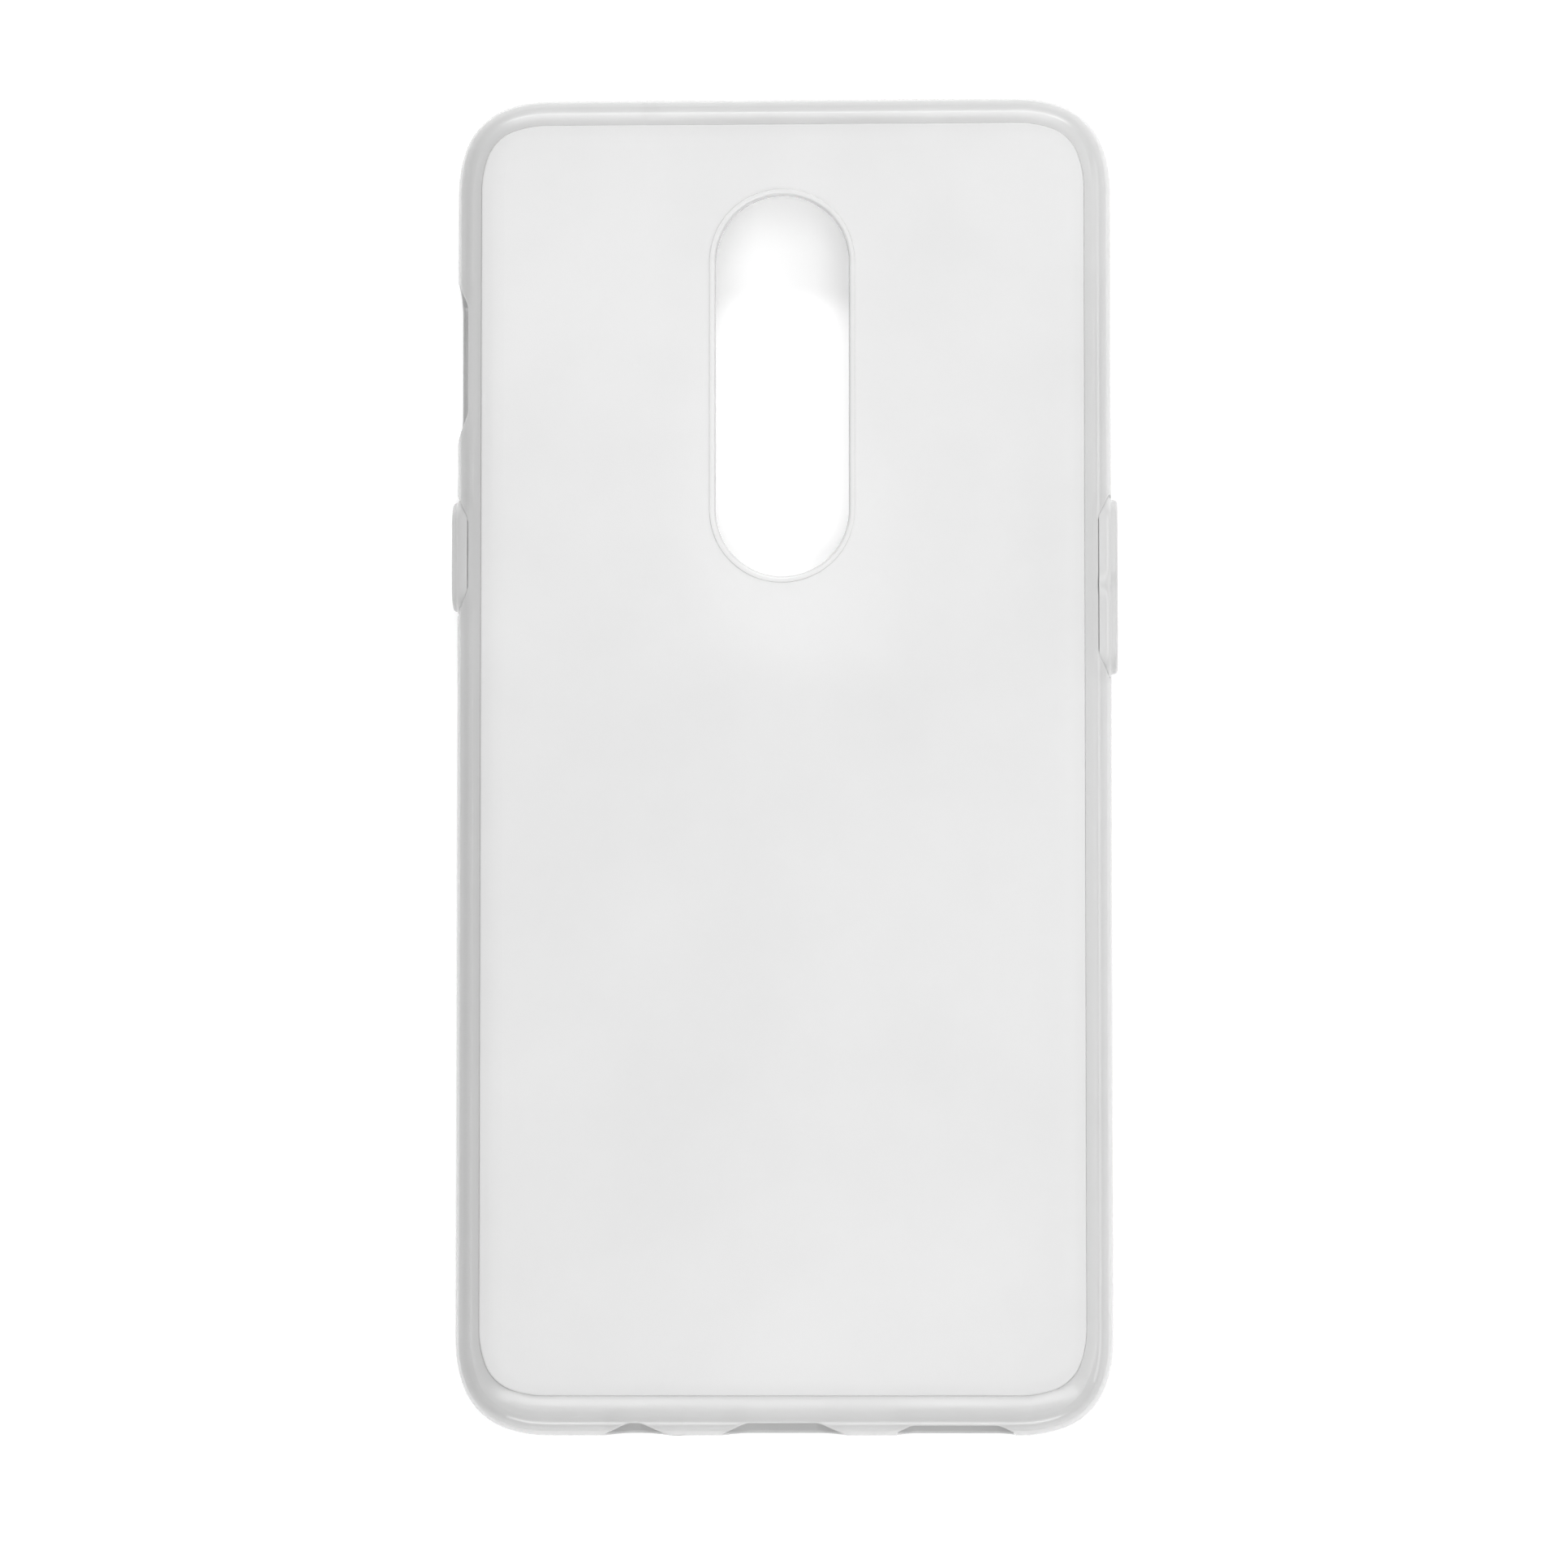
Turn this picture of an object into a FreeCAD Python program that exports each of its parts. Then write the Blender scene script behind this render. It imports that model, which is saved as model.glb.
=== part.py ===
"""A soft-edged phone case for one bare phone, modelled lying on its front lip.

+Z is up and is the outside of the case's back, +Y is the phone's top end, and -X is the side with the
power button, so a viewer who looks down on the case sees its back.  The origin is in the middle of the
flat front lip, at the level of the surface that the case lies on.

The case is a hard frosted back plate held in the groove of a soft bumper frame, with a soft rim round the
camera opening and three soft button pads.  Each pad sits in a window of the frame's wall, on a thin web
that lets it in.  The two volume pads are the ends of one key's cover, joined by a narrow waist that belongs
to their web.
Lengths are in millimetres.
"""

import FreeCAD
import Part
import math
import os

# The phone that the case holds.
PHONE_WIDTH = 75.4
PHONE_LENGTH = 155.7
PHONE_THICKNESS = 7.75

# The bumper frame.  A depth is measured inwards from the frame's widest outline, and a pocket depth from
# the pocket's wall.  The two end walls are thicker than the long ones.
PHONE_GAP = 0.1
WALL = 1.6
END_WALL = 2.55
LIP_HEIGHT = 0.85
LIP_REACH = 1.175
LIP_FOOT_START = 1.15
LIP_SHOULDER_DEPTH = 0.30
LIP_SHOULDER_HEIGHT = 0.95
LIP_SHOULDER_RADIUS = 1.0
POCKET_FILLET = 0.30
SEAT_THICKNESS = 0.25
SEAT_REACH = 1.3
BLOCK_DEPTH = 6.5
POCKET_DEPTH = 6.0

# The rolled back edge: three tangent arcs turn the outer wall from upright to level, and three lie inside it.
ROLL_FIRST_TURN = 20.0
ROLL_SECOND_TURN = 72.0
OUTER_ROLL = (9.5, 2.6, 12.0)
INNER_ROLL = (8.0, 1.4, 8.0)

# The back plate, which stands a little proud of the frame, the seam round it, and the tongue that holds it.
PLATE_THICKNESS = 1.32
PLATE_PROUD = 0.25
PLATE_EDGE_ROUNDING = 0.22
SEAM_DEPTH = 3.15
SEAM_TOP_DEPTH = 3.65
SEAM_BOTTOM_DEPTH = 4.75
TONGUE_REACH = 0.55
TONGUE_THICKNESS = 0.35
BOND_GAP = 0.02

# The outline's corner: a tight arc between two easy ones.
CORNER_EASY_RADIUS = 15.0
CORNER_TIGHT_RADIUS = 8.4
CORNER_EASY_TURN = 20.0

# The opening for the cameras and the fingerprint sensor, and its rim.
CAMERA_WIDTH = 16.0
CAMERA_LENGTH = 46.0
CAMERA_Y = 45.2
RIM_SLEEVE = 0.5
RIM_FLANGE = 0.25
RIM_RISE = 0.1
RIM_OUTER_ROUNDING = 0.07
RIM_INNER_ROUNDING = 0.4

# Openings through the side walls: the place along the wall, length, height and corner radius.
OPENING_MIDDLE_Z = 4.95
OPENING_HEIGHT = 7.0
OPENING_ROUNDING = 0.35
SLIDER_Y = 48.6
SLIDER_LENGTH = 19.0
CABLE_X = 0.0
CABLE_LENGTH = 14.6
JACK_X = -17.7
JACK_LENGTH = 7.4
SPEAKER_X = 20.6
SPEAKER_LENGTH = 13.8
SPEAKER_HEIGHT = 6.6
SPEAKER_CORNER = 2.2
BOTTOM_MICROPHONE_X = -12.7
TOP_MICROPHONE_X = -16.0
MICROPHONE_RADIUS = 0.75
TOP_MICROPHONE_RADIUS = 1.1

# The buttons: each window's place and length, and the pads and webs in them.  A pad's inner face is level
# with the web's, behind the wall's own inner face, which leaves room for the phone's key.
POWER_Y = 25.1
POWER_WINDOW = 14.4
POWER_RISE = 0.55
VOLUME_Y = 21.2
VOLUME_WINDOW = 22.2
VOLUME_RISE = 0.8
VOLUME_SPLIT = 1.4
BRIDGE_WAIST = 0.5
LOBE_INNER_CORNER = 1.2
PAD_ROUNDING = 0.5
WEB_WIDTH = 0.6
WEB_THICKNESS = 0.3
WEB_DEPTH = 1.0
WEB_GAP = 0.06
WINDOW_REACH = 2.3

# The long walls' lip is a little lower than the corners' and the ends'.
SIDE_RELIEF = 0.3
SIDE_RELIEF_HALF_LENGTH = 67.5
SIDE_RELIEF_RAMP = 0.9

# How deep the openings are cut, how far below the lip a cut starts, and how near counts as touching.
CUTTER = 13.0
CUT_START = 1.0
TOUCHING = 0.001

UP = FreeCAD.Vector(0, 0, 1)

# Worked out from the above.
FLOOR_Z = LIP_HEIGHT + PHONE_THICKNESS
PLATE_Z = FLOOR_Z + SEAT_THICKNESS
TONGUE_TOP_Z = PLATE_Z + TONGUE_THICKNESS
PLATE_TOP_Z = PLATE_Z + PLATE_THICKNESS
BACK_Z = PLATE_TOP_Z - PLATE_PROUD
HALF_WIDTH = PHONE_WIDTH / 2 + PHONE_GAP + WALL
HALF_LENGTH = PHONE_LENGTH / 2 + PHONE_GAP + END_WALL


class Outline:
    """A rounded plan outline: its half sizes, its corner's two radii, and how far its middle is along Y."""

    def __init__(self, half_width, half_length, drawn_in, middle_y=0.0):
        self.half_width = half_width
        self.half_length = half_length
        self.easy = CORNER_EASY_RADIUS - drawn_in
        self.tight = CORNER_TIGHT_RADIUS - drawn_in
        self.middle = FreeCAD.Vector(0, middle_y, 0)

    def corner_arcs(self):
        """Centre, radius, start and turn, in degrees, of each arc of the corner between +X and +Y."""
        turn = CORNER_EASY_TURN
        across = math.cos(math.radians(turn))
        along = math.sin(math.radians(turn))
        step = self.easy - self.tight
        reach = self.easy * along + self.tight * (across - along) + self.easy * (1 - across)
        centre1 = FreeCAD.Vector(self.half_width - self.easy, self.half_length - reach, 0)
        centre2 = centre1 + FreeCAD.Vector(across, along, 0) * step
        centre3 = centre2 - FreeCAD.Vector(along, across, 0) * step
        return [
            (centre1, self.easy, 0, turn),
            (centre2, self.tight, turn, 90 - 2 * turn),
            (centre3, self.easy, 90 - turn, turn),
        ]


CASE_OUTLINE = Outline(HALF_WIDTH, HALF_LENGTH, 0)
POCKET_OUTLINE = Outline(HALF_WIDTH - WALL, HALF_LENGTH - END_WALL, WALL)
SEAM_OUTLINE = Outline(
    HALF_WIDTH - SEAM_DEPTH,
    HALF_LENGTH - (SEAM_TOP_DEPTH + SEAM_BOTTOM_DEPTH) / 2,
    SEAM_DEPTH,
    (SEAM_BOTTOM_DEPTH - SEAM_TOP_DEPTH) / 2,
)


def point(depth, z):
    """A point of a section, before it is put in an outline: the outline is at x = 0."""
    return FreeCAD.Vector(-depth, 0, z)


def line(start, end):
    return Part.makeLine(point(*start), point(*end))


def lines(corners):
    return [line(start, end) for start, end in zip(corners[:-1], corners[1:])]


def arc(start, end, radius):
    """The short arc from start to end that bulges away from the phone."""
    middle_depth = (start[0] + end[0]) / 2
    middle_z = (start[1] + end[1]) / 2
    run_depth = end[0] - start[0]
    run_z = end[1] - start[1]
    chord = math.hypot(run_depth, run_z)
    sagitta = radius - math.sqrt(radius**2 - (chord / 2) ** 2)
    across = (-abs(run_z) / chord, math.copysign(run_depth / chord, run_depth * run_z))
    via = (middle_depth + across[0] * sagitta, middle_z + across[1] * sagitta)
    return Part.Arc(point(*start), point(*via), point(*end)).toShape()


def roll_stops(radii):
    """Depth and height at the ends of the arcs of a roll that turns from upright to level."""
    stops = [(0.0, 0.0)]
    turns = [math.radians(turn) for turn in (0.0, ROLL_FIRST_TURN, ROLL_SECOND_TURN, 90.0)]
    for radius, begin, end in zip(radii, turns[:-1], turns[1:]):
        depth, height = stops[-1]
        depth += radius * (math.cos(begin) - math.cos(end))
        height += radius * (math.sin(end) - math.sin(begin))
        stops.append((depth, height))
    return stops


def roll(radii, level_z):
    """The three arcs of a roll that ends level at level_z, and the two points where it starts and ends."""
    stops = roll_stops(radii)
    foot_z = level_z - stops[-1][1]
    stops = [(depth, foot_z + height) for depth, height in stops]
    arcs = [arc(start, end, radius) for start, end, radius in zip(stops[:-1], stops[1:], radii)]
    return arcs, stops[0], stops[-1]


def face(edges):
    return Part.Face(Part.Wire(Part.__sortEdges__(edges)))


def block_section():
    """The outer shape's section: the lip's foot, the barrelled wall, the rolled edge and the level back."""
    rolled, foot, level = roll(OUTER_ROLL, BACK_Z)
    heel = (LIP_FOOT_START, 0)
    shoulder = (LIP_SHOULDER_DEPTH, LIP_SHOULDER_HEIGHT)
    rise = foot[1] - LIP_SHOULDER_HEIGHT
    barrel_radius = (rise**2 + LIP_SHOULDER_DEPTH**2) / (2 * LIP_SHOULDER_DEPTH)
    edges = rolled + [arc(heel, shoulder, LIP_SHOULDER_RADIUS), arc(shoulder, foot, barrel_radius)]
    return face(edges + lines([level, (BLOCK_DEPTH, BACK_Z), (BLOCK_DEPTH, 0), heel]))


def pocket_section():
    """The section of the space inside: the mouth in the lip's round edge, the wall and the rolled floor."""
    rolled, foot, level = roll(INNER_ROLL, FLOOR_Z)
    lip_round = LIP_HEIGHT / 2
    lip_end = LIP_REACH - lip_round
    wall_foot = (0, LIP_HEIGHT + POCKET_FILLET)
    ledge = (POCKET_FILLET, LIP_HEIGHT)
    nose = Part.Arc(point(lip_end, 0), point(LIP_REACH, lip_round), point(lip_end, LIP_HEIGHT)).toShape()
    edges = rolled + [nose, arc(wall_foot, ledge, POCKET_FILLET), line(wall_foot, foot)]
    edges += lines([(lip_end, LIP_HEIGHT), ledge])
    middle = [(POCKET_DEPTH, FLOOR_Z), (POCKET_DEPTH, -CUT_START)]
    edges += lines([level] + middle + [(lip_end, -CUT_START), (lip_end, 0)])
    return face(edges)


def four_ways(quarter):
    """A quarter of a symmetrical ring or plate, mirrored into the whole."""
    half = quarter.fuse(quarter.mirror(FreeCAD.Vector(), FreeCAD.Vector(1, 0, 0)))
    whole = half.fuse(half.mirror(FreeCAD.Vector(), FreeCAD.Vector(0, 1, 0)))
    return whole.removeSplitter()


def swept_ring(section, outline):
    """A section carried round an outline: along half of each side and round each arc of the corner."""
    arcs = outline.corner_arcs()
    side = section.copy()
    side.translate(FreeCAD.Vector(outline.half_width, 0, 0))
    pieces = [side.extrude(FreeCAD.Vector(0, arcs[0][0].y, 0))]
    for centre, radius, start, turn in arcs:
        turned = section.copy()
        turned.translate(FreeCAD.Vector(radius, 0, 0))
        turned.rotate(FreeCAD.Vector(), UP, start)
        turned.translate(centre)
        pieces.append(turned.revolve(centre, UP, turn))
    end = section.copy()
    end.rotate(FreeCAD.Vector(), UP, 90)
    end.translate(FreeCAD.Vector(0, outline.half_length, 0))
    pieces.append(end.extrude(FreeCAD.Vector(arcs[-1][0].x, 0, 0)))
    return four_ways(pieces[0].multiFuse(pieces[1:]))


def slab(outline, inset, bottom, top):
    """A slab with an outline that is drawn in by inset, or let out where that is negative."""
    corner = FreeCAD.Vector(outline.half_width - inset, 0, bottom)
    edges = [Part.makeLine(FreeCAD.Vector(0, 0, bottom), corner)]
    last = corner
    for centre, radius, start, turn in outline.corner_arcs():
        turns = [math.radians(start + share * turn) for share in (0, 0.5, 1)]
        base = FreeCAD.Vector(centre.x, centre.y, bottom)
        stops = [base + FreeCAD.Vector(math.cos(t), math.sin(t), 0) * (radius - inset) for t in turns]
        if (stops[0] - last).Length > TOUCHING:
            edges.append(Part.makeLine(last, stops[0]))
        edges.append(Part.Arc(*stops).toShape())
        last = stops[-1]
    head = FreeCAD.Vector(0, outline.half_length - inset, bottom)
    edges += [Part.makeLine(last, head), Part.makeLine(head, FreeCAD.Vector(0, 0, bottom))]
    made = four_ways(face(edges).extrude(UP * (top - bottom)))
    made.translate(outline.middle)
    return made


def block():
    """The whole outer shape, solid, with neither pocket nor openings."""
    ring = swept_ring(block_section(), CASE_OUTLINE)
    return ring.fuse(slab(CASE_OUTLINE, BLOCK_DEPTH, 0, BACK_Z)).removeSplitter()


def pocket():
    """The space for the phone, open at the front inside the lip."""
    ring = swept_ring(pocket_section(), POCKET_OUTLINE)
    return ring.fuse(slab(POCKET_OUTLINE, POCKET_DEPTH, -CUT_START, FLOOR_Z)).removeSplitter()


def rounded_prism(length, height, radii, depth):
    """A prism with a rounded rectangle as its face: length along X, height along Y, depth along Z, middle
    at the origin.  radii are those of its two left corners and of its two right corners."""
    left, right = radii
    half_length = length / 2
    half_height = height / 2
    corners = [
        (half_length - right, half_height - right, right, 0),
        (-half_length + left, half_height - left, left, 90),
        (-half_length + left, -half_height + left, left, 180),
        (half_length - right, -half_height + right, right, 270),
    ]
    stops = []
    edges = []
    for x, y, radius, start in corners:
        turns = [math.radians(start + turn) for turn in (0, 45, 90)]
        stops.append([FreeCAD.Vector(x + radius * math.cos(t), y + radius * math.sin(t), 0) for t in turns])
        edges.append(Part.Arc(*stops[-1]).toShape())
    for here, following in zip(stops, stops[1:] + stops[:1]):
        if (here[2] - following[0]).Length > TOUCHING:
            edges.append(Part.makeLine(here[2], following[0]))
    base = face(edges)
    base.translate(FreeCAD.Vector(0, 0, -depth / 2))
    return base.extrude(UP * depth)


def slot(length, height, depth):
    """A prism with full-round ends."""
    return rounded_prism(length, height, (height / 2, height / 2), depth)


def onto_wall(shape, wall, place):
    """Puts a shape that was made about the origin, with +Z out of the wall, in one of the four walls.

    place is how far along the wall it is: a Y for a long wall and an X for an end wall."""
    turns = {"right": 0, "top": 90, "left": 180, "bottom": 270}
    moved = shape.copy()
    moved.rotate(FreeCAD.Vector(), FreeCAD.Vector(1, 1, 1), 120)
    moved.rotate(FreeCAD.Vector(), UP, turns[wall])
    places = {
        "right": (HALF_WIDTH, place),
        "left": (-HALF_WIDTH, place),
        "top": (place, HALF_LENGTH),
        "bottom": (place, -HALF_LENGTH),
    }
    x, y = places[wall]
    moved.translate(FreeCAD.Vector(x, y, OPENING_MIDDLE_Z))
    return moved


def opening_cutters():
    """What is taken out of the walls for the phone's slider, sockets and speaker, and for the buttons."""
    speaker = rounded_prism(SPEAKER_LENGTH, SPEAKER_HEIGHT, (SPEAKER_CORNER, SPEAKER_CORNER), CUTTER)
    return [
        onto_wall(slot(SLIDER_LENGTH, OPENING_HEIGHT, CUTTER), "left", SLIDER_Y),
        onto_wall(slot(CABLE_LENGTH, OPENING_HEIGHT, CUTTER), "bottom", CABLE_X),
        onto_wall(slot(JACK_LENGTH, OPENING_HEIGHT, CUTTER), "bottom", JACK_X),
        onto_wall(speaker, "bottom", SPEAKER_X),
        onto_wall(slot(POWER_WINDOW, OPENING_HEIGHT, 2 * WINDOW_REACH), "left", POWER_Y),
        onto_wall(slot(VOLUME_WINDOW, OPENING_HEIGHT, 2 * WINDOW_REACH), "right", VOLUME_Y),
    ]


def microphone_cutters():
    """The two small round holes, one in the bottom wall and one in the top wall."""
    start = FreeCAD.Vector(0, 0, -CUTTER / 2)
    return [
        onto_wall(Part.makeCylinder(MICROPHONE_RADIUS, CUTTER, start), "bottom", BOTTOM_MICROPHONE_X),
        onto_wall(Part.makeCylinder(TOP_MICROPHONE_RADIUS, CUTTER, start), "top", TOP_MICROPHONE_X),
    ]


def relief_cutter(side):
    """The shallow cut that lowers the lip of one long wall, with a ramp at each end."""
    top_half = SIDE_RELIEF_HALF_LENGTH
    bottom_half = top_half + SIDE_RELIEF_RAMP * (SIDE_RELIEF + CUT_START) / SIDE_RELIEF
    outline = [
        (-bottom_half, -CUT_START),
        (bottom_half, -CUT_START),
        (top_half, SIDE_RELIEF),
        (-top_half, SIDE_RELIEF),
    ]
    inner = HALF_WIDTH - BLOCK_DEPTH
    points = [FreeCAD.Vector(inner, y, z) for y, z in outline]
    cutter = Part.Face(Part.makePolygon(points + points[:1])).extrude(FreeCAD.Vector(CUTTER, 0, 0))
    if side == "left":
        cutter = cutter.mirror(FreeCAD.Vector(), FreeCAD.Vector(1, 0, 0))
    return cutter


def wall_depth(spot):
    """How far a point lies inside the widest outline, measured square to the nearer straight wall."""
    return min(HALF_WIDTH - abs(spot.x), HALF_LENGTH - abs(spot.y))


def rounded_opening(frame, cutter):
    """The frame with one opening cut in it and the opening's outer edge rounded."""
    skin = frame.Shells[0]
    cut_skin = cutter.Shells[0]
    reach = cutter.BoundBox
    reach.enlarge(TOUCHING)
    opened = frame.cut(cutter)
    mouth = []
    for edge in opened.Edges:
        middle = edge.valueAt((edge.FirstParameter + edge.LastParameter) / 2)
        if not reach.isInside(middle) or wall_depth(middle) > WALL - TOUCHING:
            continue
        spot = Part.Vertex(middle)
        if cut_skin.distToShape(spot)[0] < TOUCHING and skin.distToShape(spot)[0] < TOUCHING:
            mouth.append(edge)
    return opened.makeFillet(OPENING_ROUNDING, mouth)


def bumper_frame():
    seat_opening = slab(SEAM_OUTLINE, SEAT_REACH, FLOOR_Z - CUT_START, BACK_Z)
    groove = slab(SEAM_OUTLINE, -TONGUE_REACH, PLATE_Z, TONGUE_TOP_Z)
    plate_space = slab(SEAM_OUTLINE, 0, PLATE_Z, BACK_Z + CUT_START)
    frame = block().cut(pocket())
    for space in (seat_opening, groove, plate_space):
        frame = frame.cut(space)
    for cutter in opening_cutters():
        frame = rounded_opening(frame, cutter)
    for cutter in microphone_cutters() + [relief_cutter("left"), relief_cutter("right")]:
        frame = frame.cut(cutter)
    return frame


def camera_slot(grown, z, thickness):
    """A prism of the camera opening's shape, grown all round."""
    prism = slot(CAMERA_LENGTH + 2 * grown, CAMERA_WIDTH + 2 * grown, thickness)
    prism.rotate(FreeCAD.Vector(), UP, 90)
    prism.translate(FreeCAD.Vector(0, CAMERA_Y, z + thickness / 2))
    return prism


def level_edges(shape, z):
    """The edges of a shape that lie flat at a height."""
    return [edge for edge in shape.Edges if all(abs(vertex.Z - z) < TOUCHING for vertex in edge.Vertexes)]


def rounded_cover(cover):
    """The plate's cover with the edge round its rolled top rounded."""
    outside = slab(SEAM_OUTLINE, BOND_GAP, PLATE_Z, PLATE_TOP_Z).Shells[0]
    brink = []
    for edge in cover.Edges:
        middle = edge.valueAt((edge.FirstParameter + edge.LastParameter) / 2)
        upright = abs(edge.Vertexes[0].Z - edge.Vertexes[-1].Z) > TOUCHING
        if upright or middle.z < TONGUE_TOP_Z:
            continue
        if outside.distToShape(Part.Vertex(middle))[0] < TOUCHING:
            brink.append(edge)
    return cover.makeFillet(PLATE_EDGE_ROUNDING, brink)


def back_plate():
    under = PLATE_Z + BOND_GAP
    raised = block()
    raised.translate(UP * PLATE_PROUD)
    cover = rounded_cover(raised.common(slab(SEAM_OUTLINE, BOND_GAP, under, PLATE_TOP_Z + CUT_START)))
    tongue = slab(SEAM_OUTLINE, BOND_GAP - TONGUE_REACH, under, TONGUE_TOP_Z - BOND_GAP)
    plate = cover.fuse(tongue).removeSplitter()
    hole = camera_slot(RIM_SLEEVE + BOND_GAP, PLATE_Z - CUT_START, PLATE_THICKNESS + 2 * CUT_START)
    return plate.cut(hole)


def camera_rim():
    """The soft ring in the camera opening: a sleeve through the plate, and a low flange with rounded edges."""
    sleeve = camera_slot(RIM_SLEEVE, PLATE_Z, PLATE_THICKNESS + RIM_RISE / 2)
    flange = camera_slot(RIM_SLEEVE + RIM_FLANGE, PLATE_TOP_Z + BOND_GAP, RIM_RISE - BOND_GAP)
    outer = flange.makeFillet(RIM_OUTER_ROUNDING, level_edges(flange, PLATE_TOP_Z + RIM_RISE))
    hole = camera_slot(0, PLATE_Z - CUT_START, PLATE_THICKNESS + RIM_RISE + 2 * CUT_START)
    ring = outer.fuse(sleeve).cut(hole).removeSplitter()
    rim_edge = hole.Shells[0]
    crest = [
        edge
        for edge in level_edges(ring, PLATE_TOP_Z + RIM_RISE)
        if rim_edge.distToShape(edge)[0] < TOUCHING
    ]
    return ring.makeFillet(RIM_INNER_ROUNDING, crest)


def pad(length, height, radii, rise):
    """A button pad about the origin, with +Z out of the wall and a rounded edge round its outer face."""
    inner_depth = WEB_DEPTH + WEB_THICKNESS
    body = rounded_prism(length, height, radii, rise + inner_depth)
    body.translate(FreeCAD.Vector(0, 0, (rise - inner_depth) / 2))
    return body.makeFillet(PAD_ROUNDING, level_edges(body, rise))


def pad_height():
    return OPENING_HEIGHT - 2 * WEB_WIDTH


def power_button():
    height = pad_height()
    made = pad(POWER_WINDOW - 2 * WEB_WIDTH, height, (height / 2, height / 2), POWER_RISE)
    return onto_wall(made, "left", POWER_Y)


def volume_lobe_length():
    return (VOLUME_WINDOW - 2 * WEB_WIDTH - VOLUME_SPLIT) / 2


def volume_button(direction):
    """One pad of the volume key's cover: direction is +1 for the pad towards the top, -1 for the other."""
    length = volume_lobe_length()
    height = pad_height()
    made = pad(length, height, (LOBE_INNER_CORNER, height / 2), VOLUME_RISE)
    made.translate(FreeCAD.Vector((VOLUME_SPLIT + length) / 2, 0, 0))
    if direction < 0:
        made = made.mirror(FreeCAD.Vector(), FreeCAD.Vector(1, 0, 0))
    return onto_wall(made, "right", VOLUME_Y)


def web_plate(window):
    """The thin sheet that closes a window, before the pads are taken out of it."""
    sheet = slot(window, OPENING_HEIGHT, WEB_THICKNESS)
    sheet.translate(FreeCAD.Vector(0, 0, -WEB_DEPTH - WEB_THICKNESS / 2))
    return sheet


def bridge():
    """The narrow waist between the two volume pads, about the origin, with +Z out of the wall."""
    inner_depth = WEB_DEPTH + WEB_THICKNESS
    length = VOLUME_SPLIT - 2 * WEB_GAP
    height = pad_height() - 2 * BRIDGE_WAIST
    body = Part.makeBox(length, height, VOLUME_RISE + inner_depth)
    body.translate(FreeCAD.Vector(-length / 2, -height / 2, -inner_depth))
    crown = [
        edge
        for edge in level_edges(body, VOLUME_RISE)
        if abs(edge.Vertexes[0].Y - edge.Vertexes[1].Y) < TOUCHING
    ]
    return body.makeFillet(PAD_ROUNDING, crown)


def pad_space(length, radii):
    """The pad's own outline through the web, with a hair's gap."""
    radii = tuple(radius + WEB_GAP for radius in radii)
    return rounded_prism(length + 2 * WEB_GAP, pad_height() + 2 * WEB_GAP, radii, CUTTER)


def power_web():
    height = pad_height()
    space = pad_space(POWER_WINDOW - 2 * WEB_WIDTH, (height / 2, height / 2))
    return onto_wall(web_plate(POWER_WINDOW).cut(space), "left", POWER_Y)


def volume_web():
    length = volume_lobe_length()
    upper = pad_space(length, (LOBE_INNER_CORNER, pad_height() / 2))
    upper.translate(FreeCAD.Vector((VOLUME_SPLIT + length) / 2, 0, 0))
    lower = upper.mirror(FreeCAD.Vector(), FreeCAD.Vector(1, 0, 0))
    web = web_plate(VOLUME_WINDOW).cut(upper).cut(lower).fuse(bridge()).removeSplitter()
    return onto_wall(web, "right", VOLUME_Y)


NODES = {
    "bumper_frame": bumper_frame,
    "back_plate": back_plate,
    "camera_rim": camera_rim,
    "power_button": power_button,
    "power_button_web": power_web,
    "volume_up_button": lambda: volume_button(1),
    "volume_down_button": lambda: volume_button(-1),
    "volume_button_web": volume_web,
}


def main():
    os.makedirs("parts", exist_ok=True)
    for name, make in NODES.items():
        shape = make()
        solids = shape.Solids
        box = shape.BoundBox
        shape = solids[0] if len(solids) == 1 else Part.makeCompound(solids)
        shape.exportStep(f"parts/{name}.step")
        print(
            f"{name}: {len(solids)} solid, valid {shape.isValid()}, {shape.Volume:.1f} mm3, "
            f"x {box.XMin:.2f} {box.XMax:.2f}, y {box.YMin:.2f} {box.YMax:.2f}, "
            f"z {box.ZMin:.2f} {box.ZMax:.2f}"
        )


main()
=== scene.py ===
"""The looks of a translucent phone case: its finishes, its button skins, and a plain white studio round it."""

import math

import bmesh
import bpy
from mathutils import Matrix, Vector


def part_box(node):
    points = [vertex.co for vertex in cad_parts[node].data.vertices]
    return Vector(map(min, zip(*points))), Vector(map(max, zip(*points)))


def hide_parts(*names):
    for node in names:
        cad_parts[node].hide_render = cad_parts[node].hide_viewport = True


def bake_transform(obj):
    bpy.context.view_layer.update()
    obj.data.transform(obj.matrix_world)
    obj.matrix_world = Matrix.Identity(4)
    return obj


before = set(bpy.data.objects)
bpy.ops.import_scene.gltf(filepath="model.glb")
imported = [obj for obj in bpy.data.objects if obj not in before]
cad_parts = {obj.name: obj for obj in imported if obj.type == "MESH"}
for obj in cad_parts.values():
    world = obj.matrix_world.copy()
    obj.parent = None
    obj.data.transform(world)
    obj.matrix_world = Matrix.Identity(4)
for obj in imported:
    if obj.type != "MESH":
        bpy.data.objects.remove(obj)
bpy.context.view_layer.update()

MM = 0.001

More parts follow.
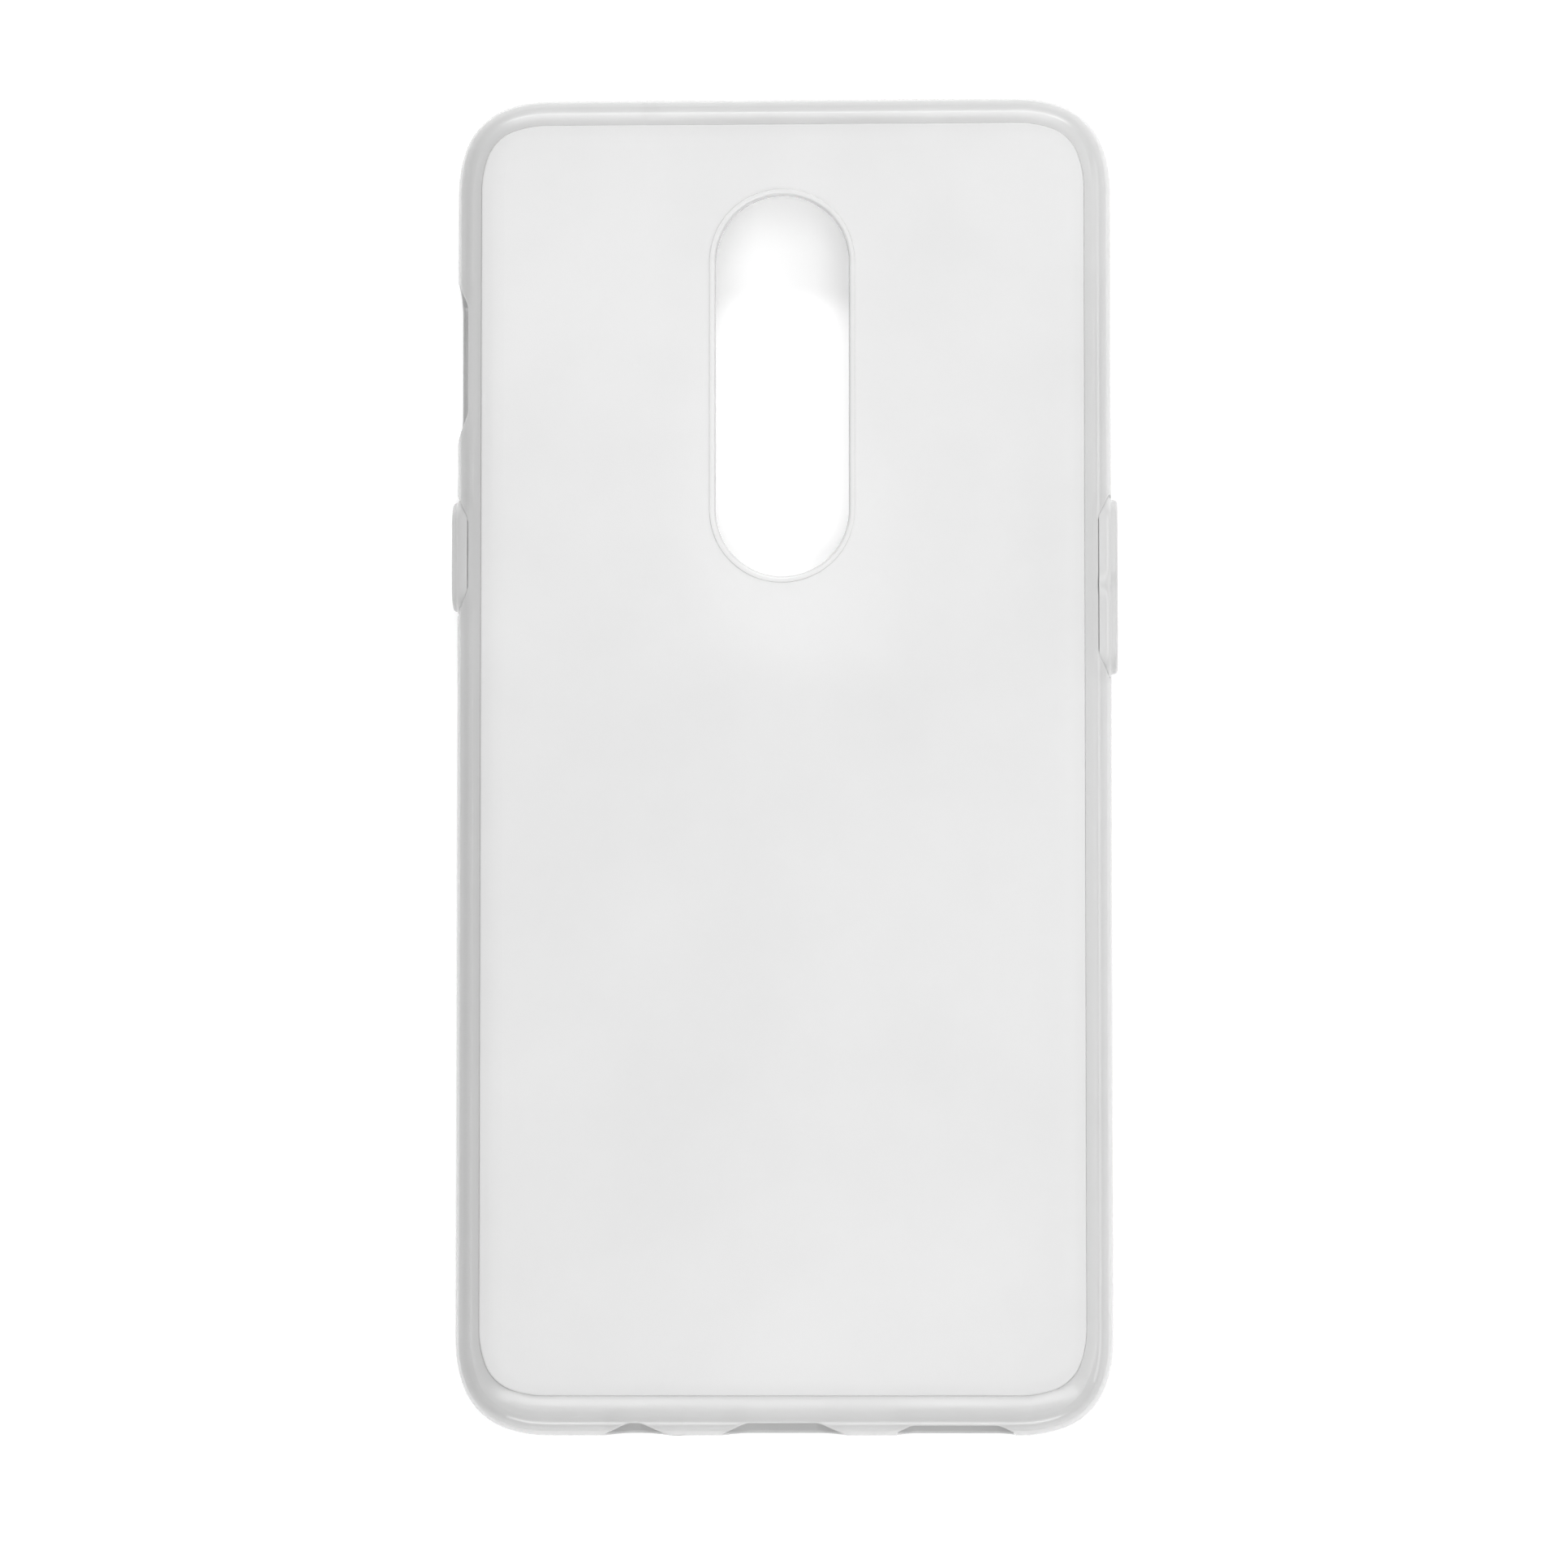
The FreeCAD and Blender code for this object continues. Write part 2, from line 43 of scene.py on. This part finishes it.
# The plastics.  Each has its name, tone, roughness, the share of light that it lets through, and the scale and
# height of its moulded grain.
CLEAR = ("soft_clear_plastic", 0.62, 0.22, 0.4, 5000, 0.02 * MM)
# The camera rim's plastic is painted lighter than the clear plastic: a painted highlight along its bead, which also
# paints over the shade at its edges.
RIM_PAINTED_LIGHT = ("rim_plastic_with_painted_light", 0.74, 0.22, 0.36, 5000, 0.02 * MM)
# The pads' plastic is painted lighter than the clear plastic: a painted highlight standing in for the light on
# their rounded faces.
PAD_PAINTED_LIGHT = ("pad_plastic_with_painted_light", 0.68, 0.22, 0.4, 5000, 0.02 * MM)
FROSTED = ("frosted_plastic", 0.71, 0.6, 0.35, 7000, 0.03 * MM)
PLASTIC_IOR = 1.46
GRAIN_DETAIL = 4
GRAIN_STRENGTH = 0.25

# The cloudiness: how wide its patches are, the part of the noise that is spread over the whole range, and how far
# the tone and the roughness drift to each side.
CLOUD_SCALE = 45
CLOUD_DETAIL = 3
CLOUD_SPAN = (0.35, 0.65)
TONE_DRIFT = 0.012
ROUGHNESS_DRIFT = 0.03

# The pads: how their brink is rounded, how far the face is crowned, and the loops across the face, each drawn in by
# a share of half the pad's height.
PAD_CROWN = 0.5 * MM
PAD_DOME = 0.08 * MM
CROWN_STEPS = 5
FACE_SHARES = (0.97, 0.75, 0.5)
ROUND_STEPS = 20
LEAST_RADIUS = 0.02 * MM

# The waist in the middle of the volume key: how deep it is on each side, and how far it reaches along the pad.
WAIST = 0.5 * MM
WAIST_REACH = 1.9 * MM
WAIST_STEPS = 10

# The flank that slopes from a pad into the wall: how far each loop is let out, as a share of the way to the window,
# and its depth in the wall.
FLANK = (
    (0.15, 0.05 * MM),
    (0.45, 0.15 * MM),
    (0.8, 0.35 * MM),
    (1.1, 0.7 * MM),
    (1.4, 1.1 * MM),
    (1.65, 1.45 * MM),
)

# The underside of a skin, inside the wall: its rim, and the small flat cap in its middle.
SKIN_THICKNESS = 0.3 * MM
CAP_SHARE = 0.9
SHARP_ANGLE = math.radians(50)

# The camera looks almost straight down, leaning a little to the right and towards the bottom end.
SENSOR_WIDTH = 36
LENS = 191
CLIP_END = 10
AIM = Vector((0, -2.4 * MM, 5 * MM))
DISTANCE = 1
TILT = math.radians(4)
LEAN = math.radians(2.5)

# The studio, in metres and watts.  The floor glows faintly, as a light table does.
FLOOR_HALF = 1.5
FLOOR_TONE = 0.95
FLOOR_ROUGHNESS = 0.9
FLOOR_GLOW = 0.14
WORLD_STRENGTH = 0.35
LAMPS = (
    # name, place, what it faces, size, power
    ("key", (0.25, 0.08, 0.94), (0, 0, 0), (1.0, 1.2), 4.35),
    ("top_band", (0, 0.9, 0.75), (0, 0.08, 0), (0.9, 0.14), 9.5),
    ("bottom_band", (0, -0.42, 0.98), (0, -0.08, 0), (0.9, 0.12), 3.5),
    ("bottom_low", (0, -0.95, 0.3), (0, -0.08, 0), (0.8, 0.2), 4),
    ("top_low", (0, 0.95, 0.3), (0, 0.08, 0), (0.8, 0.2), 0.5),
    ("right_low", (0.9, 0, 0.35), (0.04, 0, 0), (0.8, 0.2), 2.0),
)


# ---------------------------------------------------------------------------------------------- materials


def new_material(name):
    material = bpy.data.materials.new(name)
    material.use_nodes = True
    return material, material.node_tree.nodes, material.node_tree.links


def add_noise(tree, links, scale, detail):
    """A noise pattern in the object's own space, in metres."""
    coords = tree.new("ShaderNodeTexCoord")
    noise = tree.new("ShaderNodeTexNoise")
    noise.inputs["Scale"].default_value = scale
    noise.inputs["Detail"].default_value = detail
    links.new(coords.outputs["Object"], noise.inputs["Vector"])
    return noise.outputs["Fac"]


def around(tree, links, factor, value, drift):
    """A value that drifts to both sides with a noise pattern."""
    spread = tree.new("ShaderNodeMapRange")
    spread.inputs["From Min"].default_value, spread.inputs["From Max"].default_value = CLOUD_SPAN
    spread.inputs["To Min"].default_value = value - drift
    spread.inputs["To Max"].default_value = value + drift
    links.new(factor, spread.inputs["Value"])
    return spread.outputs["Result"]


def cloudy(name, tone, roughness, transmission, grain, grain_height):
    """Clear plastic with some milk in it: uneven by a hair in colour and gloss, with a fine moulded grain."""
    material, tree, links = new_material(name)
    shader = tree["Principled BSDF"]
    shader.inputs["IOR"].default_value = PLASTIC_IOR
    shader.inputs["Transmission Weight"].default_value = transmission
    clouds = add_noise(tree, links, CLOUD_SCALE, CLOUD_DETAIL)
    shade = tree.new("ShaderNodeCombineColor")
    level = around(tree, links, clouds, tone, TONE_DRIFT)
    for channel in ("Red", "Green", "Blue"):
        links.new(level, shade.inputs[channel])
    links.new(shade.outputs["Color"], shader.inputs["Base Color"])
    links.new(around(tree, links, clouds, roughness, ROUGHNESS_DRIFT), shader.inputs["Roughness"])
    bump = tree.new("ShaderNodeBump")
    bump.inputs["Strength"].default_value = GRAIN_STRENGTH
    bump.inputs["Distance"].default_value = grain_height
    links.new(add_noise(tree, links, grain, GRAIN_DETAIL), bump.inputs["Height"])
    links.new(bump.outputs["Normal"], shader.inputs["Normal"])
    return material


def light_table():
    """An even matt white that is lit faintly from behind."""
    material, tree, _ = new_material("floor")
    shader = tree["Principled BSDF"]
    shader.inputs["Base Color"].default_value = (FLOOR_TONE, FLOOR_TONE, FLOOR_TONE, 1)
    shader.inputs["Roughness"].default_value = FLOOR_ROUGHNESS
    shader.inputs["Emission Color"].default_value = (1, 1, 1, 1)
    shader.inputs["Emission Strength"].default_value = FLOOR_GLOW
    return material


def dress(piece, material):
    piece.data.materials.clear()
    piece.data.materials.append(material)


# ------------------------------------------------------------------------------------------ button skins


def end_loop(shape, inset):
    """One end of a pad's outline, drawn in by inset, from its cut at the middle round the end and back to the cut.

    shape is the cut's place and the end's place along the wall, the low and high Z, and the waist at the cut."""
    cut, end, low, high, waist = shape
    half = (high - low) / 2
    radius = max(half - inset, LEAST_RADIUS)
    outwards = math.copysign(1, end - cut)
    centre = end - outwards * half
    waist *= radius / half
    rail = []
    for step in range(WAIST_STEPS + 1):
        share = step / WAIST_STEPS
        ease = (1 + math.cos(math.pi * share)) / 2
        rail.append((cut + outwards * WAIST_REACH * share, waist * ease))
    middle = (low + high) / 2
    arc = []
    for step in range(ROUND_STEPS + 1):
        turn = math.pi * step / ROUND_STEPS
        arc.append((centre + outwards * radius * math.sin(turn), middle + radius * math.cos(turn)))
    top = [(along, middle + radius - draw) for along, draw in rail]
    bottom = [(along, middle - radius + draw) for along, draw in reversed(rail)]
    return top + arc + bottom


def whole_loop(shape, inset):
    """A pad's whole outline: its two ends, joined at the cut."""
    cut, end, *rest = shape
    other = (cut, 2 * cut - end, *rest)
    return end_loop(shape, inset)[1:-1] + end_loop(other, inset)[::-1][1:-1]


def loft(name, stations, place):
    """A closed piece through a row of loops, each with its height out of the wall, capped at both ends."""
    count = len(stations[0][0])
    verts = [place(along, up, out) for loop, out in stations for along, up in loop]
    faces = [tuple(range(count))]
    for row in range(len(stations) - 1):
        base = row * count
        for i in range(count):
            j = (i + 1) % count
            faces.append((base + i, base + count + i, base + count + j, base + j))
    last = (len(stations) - 1) * count
    faces.append(tuple(reversed(range(last, last + count))))
    mesh = bpy.data.meshes.new(name)
    mesh.from_pydata(verts, [], faces)
    mesh.validate()
    face_outwards(mesh)
    mesh.shade_smooth()
    mesh.set_sharp_from_angle(angle=SHARP_ANGLE)
    return add_object(name, mesh)


def face_outwards(mesh):
    """Turns all of a closed mesh's faces outwards."""
    work = bmesh.new()
    work.from_mesh(mesh)
    bmesh.ops.recalc_face_normals(work, faces=work.faces)
    work.to_mesh(mesh)
    work.free()


def add_object(name, data):
    item = bpy.data.objects.new(name, data)
    bpy.context.scene.collection.objects.link(item)
    return item


def eased(a, b, share):
    """The loop that lies a share of the way from loop a to loop b."""
    return [(p[0] + (q[0] - p[0]) * share, p[1] + (q[1] - p[1]) * share) for p, q in zip(a, b)]


def skin(name, loop, pad_shape, hole_shape, side, rise, material):
    """A soft pad that is rounded at its brink and slopes into the wall all round."""
    start, end, low, high, _ = pad_shape
    half = (high - low) / 2
    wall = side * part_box("bumper_frame")[1].x

    def place(along, up, out):
        return (wall + side * out, along, up)

    stations = []
    for share in FACE_SHARES:
        stations.append((loop(pad_shape, half * share), rise - PAD_DOME * (1 - share) ** 2))
    for step in range(CROWN_STEPS + 1):
        turn = math.pi / 2 * step / CROWN_STEPS
        inset = PAD_CROWN * (1 - math.sin(turn))
        drop = PAD_CROWN * (1 - math.cos(turn))
        stations.append((loop(pad_shape, inset), rise - PAD_DOME / 2 - drop))
    edge = loop(pad_shape, 0)
    hole = loop(hole_shape, 0)
    stations += [(eased(edge, hole, share), -depth) for share, depth in FLANK]
    deepest = FLANK[-1][1]
    stations += [(loop(pad_shape, inset), -deepest) for inset in (SKIN_THICKNESS, half * CAP_SHARE)]
    piece = loft(name, stations, place)
    dress(piece, material)
    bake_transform(piece)
    return piece


def add_power_button(material):
    low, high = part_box("power_button")
    web_low, web_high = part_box("power_button_web")
    middle = (low.y + high.y) / 2
    pad_shape = (middle, high.y, low.z, high.z, 0)
    hole_shape = (middle, web_high.y, web_low.z, web_high.z, 0)
    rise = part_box("bumper_frame")[0].x - low.x
    piece = skin("power_button_skin", whole_loop, pad_shape, hole_shape, -1, rise, material)
    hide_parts("power_button", "power_button_web")


def add_volume_button(direction, material):
    """One half of the volume key's cover, out to the middle of the waist between its two lobes."""
    node = f"volume_{direction}_button"
    low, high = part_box(node)
    web_low, web_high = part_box("volume_button_web")
    middle = (web_low.y + web_high.y) / 2
    pad_end, hole_end = (high.y, web_high.y) if direction == "up" else (low.y, web_low.y)
    pad_shape = (middle, pad_end, low.z, high.z, WAIST)
    hole_shape = (middle, hole_end, web_low.z, web_high.z, 0)
    rise = high.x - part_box("bumper_frame")[1].x
    piece = skin(f"{node}_skin", end_loop, pad_shape, hole_shape, 1, rise, material)
    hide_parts(node, "volume_button_web")


# --------------------------------------------------------------------------------------------- the studio


def look(place, aim, up):
    """The rotation of a camera or lamp at place that faces aim, with up towards the top of its view."""
    back = (Vector(place) - Vector(aim)).normalized()
    side = Vector(up).cross(back).normalized()
    return Matrix((side, back.cross(side), back)).transposed().to_euler()


def add_camera():
    data = bpy.data.cameras.new("camera")
    data.sensor_width = SENSOR_WIDTH
    data.lens = LENS
    data.clip_end = CLIP_END
    camera = add_object("camera", data)
    direction = Vector((math.tan(LEAN), -math.tan(TILT), 1)).normalized()
    camera.location = AIM + direction * DISTANCE
    camera.rotation_euler = look(camera.location, AIM, (0, 1, 0))
    bpy.context.scene.camera = camera


def add_lamp(name, place, aim, size, power):
    data = bpy.data.lights.new(name, "AREA")
    data.shape = "RECTANGLE"
    data.size, data.size_y = size
    data.energy = power
    lamp = add_object(name, data)
    lamp.location = place
    lamp.rotation_euler = look(place, aim, (0, 0, 1))


def add_floor():
    mesh = bpy.data.meshes.new("floor")
    corners = [(x * FLOOR_HALF, y * FLOOR_HALF, 0) for x, y in ((-1, -1), (1, -1), (1, 1), (-1, 1))]
    mesh.from_pydata(corners, [], [(0, 1, 2, 3)])
    floor = add_object("floor", mesh)
    dress(floor, light_table())


def add_world():
    world = bpy.data.worlds.new("studio")
    world.use_nodes = True
    background = world.node_tree.nodes["Background"]
    background.inputs["Color"].default_value = (1, 1, 1, 1)
    background.inputs["Strength"].default_value = WORLD_STRENGTH
    bpy.context.scene.world = world


clear, rim_painted_light, pad, frosted = (cloudy(*finish) for finish in (CLEAR, RIM_PAINTED_LIGHT, PAD_PAINTED_LIGHT, FROSTED))
# The camera rim gets its own copy of the plastic, painted lighter as its highlight.
for name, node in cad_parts.items():
    dress(node, {"back_plate": frosted, "camera_rim": rim_painted_light}.get(name, clear))
# The button skins get the pads' copy of the plastic, painted lighter as their highlight.
add_power_button(pad)
add_volume_button("up", pad)
add_volume_button("down", pad)

add_camera()
add_floor()
for lamp in LAMPS:
    add_lamp(*lamp)
add_world()
bpy.context.scene.view_settings.view_transform = "Standard"

bpy.context.view_layer.update()
